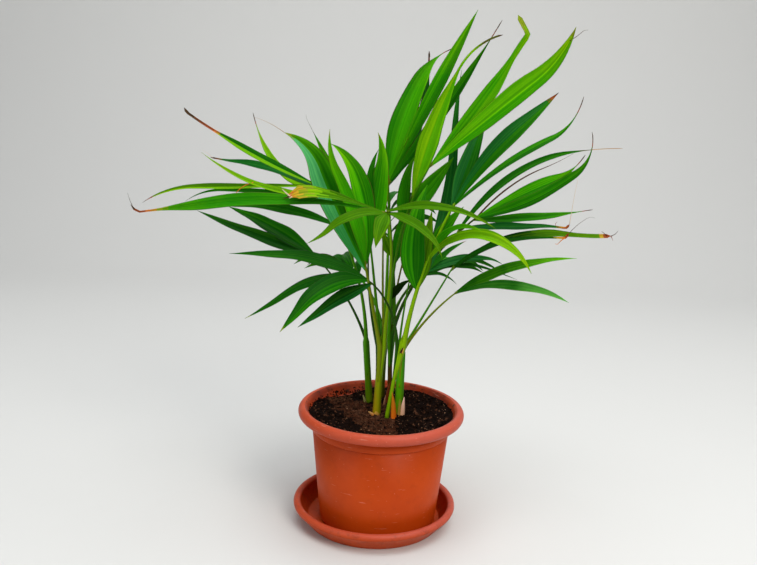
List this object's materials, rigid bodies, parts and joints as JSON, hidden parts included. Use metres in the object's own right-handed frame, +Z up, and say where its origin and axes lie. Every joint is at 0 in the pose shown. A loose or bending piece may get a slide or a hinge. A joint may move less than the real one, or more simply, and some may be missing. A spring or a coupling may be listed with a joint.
{
  "type": "potted areca palm",
  "caption": "Young clumping palm with arching feathered fronds on slim green stems, in a round terracotta-coloured plastic pot filled with soil, standing on its saucer.",
  "frame": {"origin": "centre of the saucer's flat underside", "axes": "+Z up, +X to the clump's right seen from the front, +Y to its back"},
  "size_m": [0.4705, 0.2712, 0.49],
  "materials": {
    "terracotta_plastic": "satin moulded plastic",
    "potting_soil": "damp crumbly potting mix",
    "stem_green": "smooth waxy stem",
    "dry_sheath": "dry papery sheath",
    "pale_sheath": "dry papery sheath",
    "leaf_green": "satin leaf with fine parallel veins"
  },
  "bodies": {
    "root": {"saucer": "terracotta_plastic", "pot": "terracotta_plastic", "soil": "potting_soil", "stem_left": "stem_green", "stem_middle": "stem_green", "stem_back": "stem_green", "stem_front": "stem_green", "stem_right": "stem_green", "stem_rear": "stem_green", "sheath_orange": "dry_sheath", "sheath_pale": "pale_sheath", "frond_crown": "leaf_green", "frond_up_right": "leaf_green", "frond_right_back": "leaf_green", "frond_right": "leaf_green", "frond_front": "leaf_green", "frond_left_upright": "leaf_green", "frond_left_inner": "leaf_green", "frond_left_back": "leaf_green", "frond_left_low": "leaf_green", "frond_left_front": "leaf_green", "frond_right_front": "leaf_green", "frond_right_inner": "leaf_green", "frond_right_low": "leaf_green", "frond_rear": "leaf_green", "frond_rear_left": "leaf_green", "frond_rear_right": "leaf_green", "spear_left": "leaf_green", "spear_middle": "leaf_green", "spear_back": "leaf_green", "spear_right": "leaf_green"}
  },
  "joints": []
}
